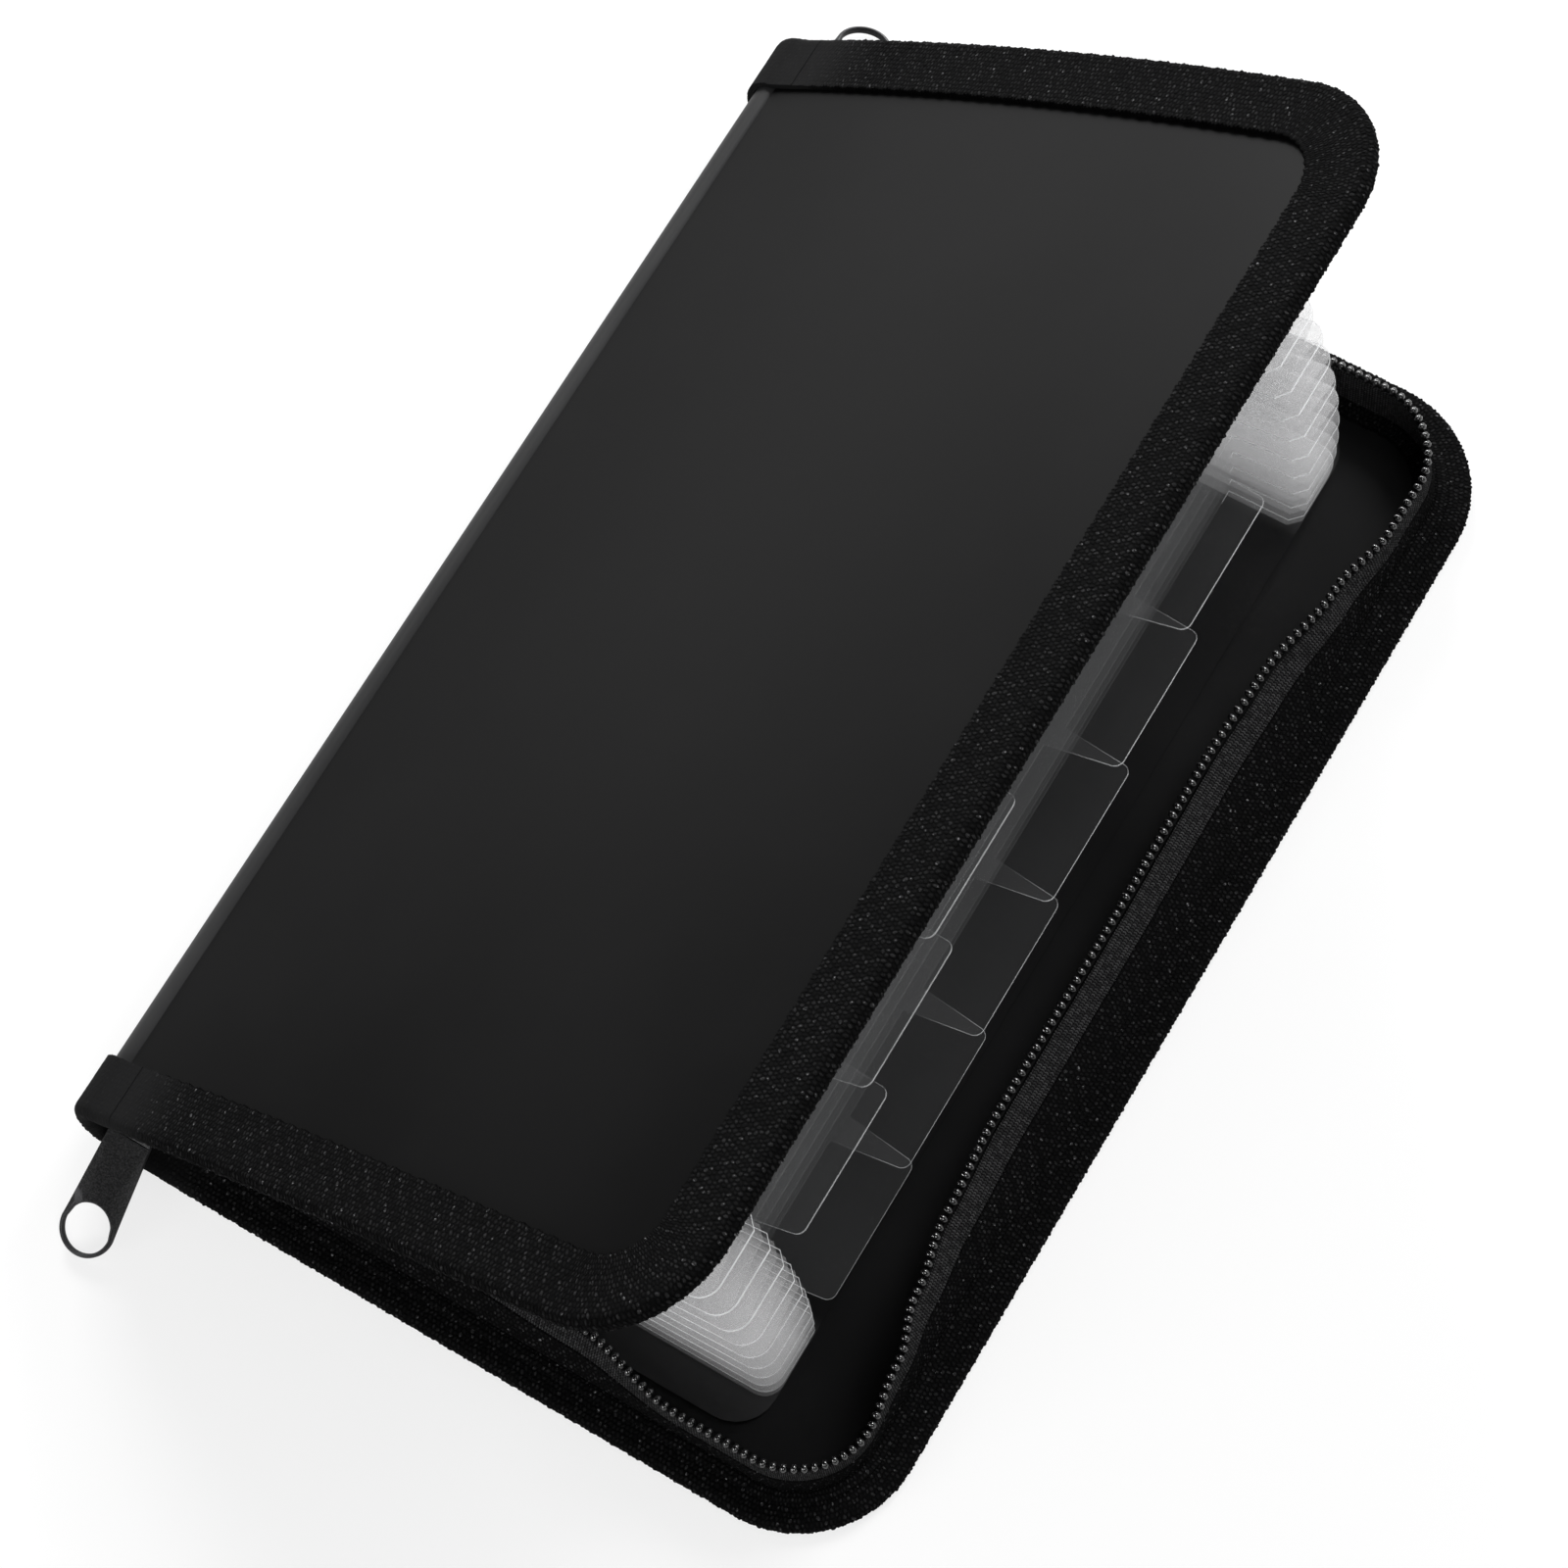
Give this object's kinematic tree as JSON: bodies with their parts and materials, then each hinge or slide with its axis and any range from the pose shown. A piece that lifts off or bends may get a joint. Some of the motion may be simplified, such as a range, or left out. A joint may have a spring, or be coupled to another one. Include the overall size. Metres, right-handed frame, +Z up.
{
  "type": "accordion file folder",
  "caption": "Zip-round accordion file folder with fabric-bound plastic covers, tabbed see-through dividers and folded gussets, its cover part raised.",
  "frame": {"origin": "on the table, at the middle of the folder's outline", "axes": "+Z up from the table, +X from the spine towards the mouth, +Y along the spine"},
  "size_m": [0.1204, 0.2144, 0.0833],
  "materials": {
    "cover_plastic": "satin black sheet, finely grained",
    "woven_tape": "coarse black woven tape",
    "smoke_film": "smooth smoke-grey film",
    "clear_film": "see-through smoke-grey sheet, bright cut edges",
    "frosted_film": "frosted see-through film",
    "zip_tape": "fine black knitted tape",
    "zip_nylon": "glossy black coil",
    "black_metal": "black lacquer"
  },
  "bodies": {
    "root": {"rear_cover": "cover_plastic", "spine_panel": "cover_plastic", "rear_binding": "woven_tape", "spine_end_binding_near": "woven_tape", "spine_end_binding_far": "woven_tape", "rear_mount_sheet": "smoke_film", "rear_zip_tape": "zip_tape", "rear_zip_coil": "zip_nylon"},
    "front_cover": {"front_cover": "cover_plastic", "front_binding": "woven_tape", "front_mount_sheet": "smoke_film", "front_zip_tape": "zip_tape", "front_zip_coil": "zip_nylon", "pocket_gusset_13": "frosted_film"},
    "divider_01": {"divider_01": "clear_film", "pocket_gusset_01": "frosted_film"},
    "divider_02": {"divider_02": "clear_film", "pocket_gusset_02": "frosted_film"},
    "divider_03": {"divider_03": "clear_film", "pocket_gusset_03": "frosted_film"},
    "divider_04": {"divider_04": "clear_film", "pocket_gusset_04": "frosted_film"},
    "divider_05": {"divider_05": "clear_film", "pocket_gusset_05": "frosted_film"},
    "divider_06": {"divider_06": "clear_film", "pocket_gusset_06": "frosted_film"},
    "divider_07": {"divider_07": "clear_film", "pocket_gusset_07": "frosted_film"},
    "divider_08": {"divider_08": "clear_film", "pocket_gusset_08": "frosted_film"},
    "divider_09": {"divider_09": "clear_film", "pocket_gusset_09": "frosted_film"},
    "divider_10": {"divider_10": "clear_film", "pocket_gusset_10": "frosted_film"},
    "divider_11": {"divider_11": "clear_film", "pocket_gusset_11": "frosted_film"},
    "divider_12": {"divider_12": "clear_film", "pocket_gusset_12": "frosted_film"},
    "slider_near": {"zip_slider_near": "black_metal"},
    "pull_near": {"zip_ring_near": "black_metal", "zip_pull_near": "black_metal"},
    "slider_far": {"zip_slider_far": "black_metal"},
    "pull_far": {"zip_ring_far": "black_metal", "zip_pull_far": "black_metal"}
  },
  "joints": [
    {"name": "front_cover_hinge", "type": "hinge", "parent": "root", "child": "front_cover", "pos_m": [-0.05482, 0, 0.01835], "axis": [0, -1, 0], "range_deg": [-34, 56], "deforming": ["pocket_gusset_01", "pocket_gusset_02", "pocket_gusset_03", "pocket_gusset_04", "pocket_gusset_05", "pocket_gusset_06", "pocket_gusset_07", "pocket_gusset_08", "pocket_gusset_09", "pocket_gusset_10", "pocket_gusset_11", "pocket_gusset_12", "pocket_gusset_13"]},
    {"name": "divider_01_hinge", "type": "hinge", "parent": "root", "child": "divider_01", "pos_m": [-0.05482, 0, 0.01835], "axis": [0, -1, 0], "range_deg": [-1.62, 2.63]},
    {"name": "divider_02_hinge", "type": "hinge", "parent": "root", "child": "divider_02", "pos_m": [-0.05482, 0, 0.01835], "axis": [0, -1, 0], "range_deg": [-3.65, 5.98]},
    {"name": "divider_03_hinge", "type": "hinge", "parent": "root", "child": "divider_03", "pos_m": [-0.05482, 0, 0.01835], "axis": [0, -1, 0], "range_deg": [-5.9, 9.69]},
    {"name": "divider_04_hinge", "type": "hinge", "parent": "root", "child": "divider_04", "pos_m": [-0.05482, 0, 0.01835], "axis": [0, -1, 0], "range_deg": [-8.31, 13.66]},
    {"name": "divider_05_hinge", "type": "hinge", "parent": "root", "child": "divider_05", "pos_m": [-0.05482, 0, 0.01835], "axis": [0, -1, 0], "range_deg": [-10.85, 17.84]},
    {"name": "divider_06_hinge", "type": "hinge", "parent": "root", "child": "divider_06", "pos_m": [-0.05482, 0, 0.01835], "axis": [0, -1, 0], "range_deg": [-13.49, 22.19]},
    {"name": "divider_07_hinge", "type": "hinge", "parent": "root", "child": "divider_07", "pos_m": [-0.05482, 0, 0.01835], "axis": [0, -1, 0], "range_deg": [-16.23, 26.69]},
    {"name": "divider_08_hinge", "type": "hinge", "parent": "root", "child": "divider_08", "pos_m": [-0.05482, 0, 0.01835], "axis": [0, -1, 0], "range_deg": [-19.04, 31.32]},
    {"name": "divider_09_hinge", "type": "hinge", "parent": "root", "child": "divider_09", "pos_m": [-0.05482, 0, 0.01835], "axis": [0, -1, 0], "range_deg": [-21.92, 36.07]},
    {"name": "divider_10_hinge", "type": "hinge", "parent": "root", "child": "divider_10", "pos_m": [-0.05482, 0, 0.01835], "axis": [0, -1, 0], "range_deg": [-24.87, 40.92]},
    {"name": "divider_11_hinge", "type": "hinge", "parent": "root", "child": "divider_11", "pos_m": [-0.05482, 0, 0.01835], "axis": [0, -1, 0], "range_deg": [-27.87, 45.88]},
    {"name": "divider_12_hinge", "type": "hinge", "parent": "root", "child": "divider_12", "pos_m": [-0.05482, 0, 0.01835], "axis": [0, -1, 0], "range_deg": [-30.94, 50.92]},
    {"name": "zip_slider_near_slide", "type": "slide", "parent": "root", "child": "slider_near", "axis": [1, 0, 0], "range_m": [0, 0.004]},
    {"name": "zip_pull_near_swing", "type": "hinge", "parent": "slider_near", "child": "pull_near", "pos_m": [-0.05282, -0.0851, 0.01041], "axis": [-1, 0, 0], "range_deg": [0, 60]},
    {"name": "zip_slider_far_slide", "type": "slide", "parent": "root", "child": "slider_far", "axis": [1, 0, 0], "range_m": [0, 0.004]},
    {"name": "zip_pull_far_swing", "type": "hinge", "parent": "slider_far", "child": "pull_far", "pos_m": [-0.05282, 0.0851, 0.01041], "axis": [1, 0, 0], "range_deg": [0, 60]}
  ],
  "couplings": [
    {"joint": "divider_01_hinge", "follows": "front_cover_hinge", "ratio": 0.046054},
    {"joint": "divider_02_hinge", "follows": "front_cover_hinge", "ratio": 0.1058},
    {"joint": "divider_03_hinge", "follows": "front_cover_hinge", "ratio": 0.17211},
    {"joint": "divider_04_hinge", "follows": "front_cover_hinge", "ratio": 0.24308},
    {"joint": "divider_05_hinge", "follows": "front_cover_hinge", "ratio": 0.31771},
    {"joint": "divider_06_hinge", "follows": "front_cover_hinge", "ratio": 0.39541},
    {"joint": "divider_07_hinge", "follows": "front_cover_hinge", "ratio": 0.47576},
    {"joint": "divider_08_hinge", "follows": "front_cover_hinge", "ratio": 0.55844},
    {"joint": "divider_09_hinge", "follows": "front_cover_hinge", "ratio": 0.64322},
    {"joint": "divider_10_hinge", "follows": "front_cover_hinge", "ratio": 0.72991},
    {"joint": "divider_11_hinge", "follows": "front_cover_hinge", "ratio": 0.81835},
    {"joint": "divider_12_hinge", "follows": "front_cover_hinge", "ratio": 0.90842}
  ]
}
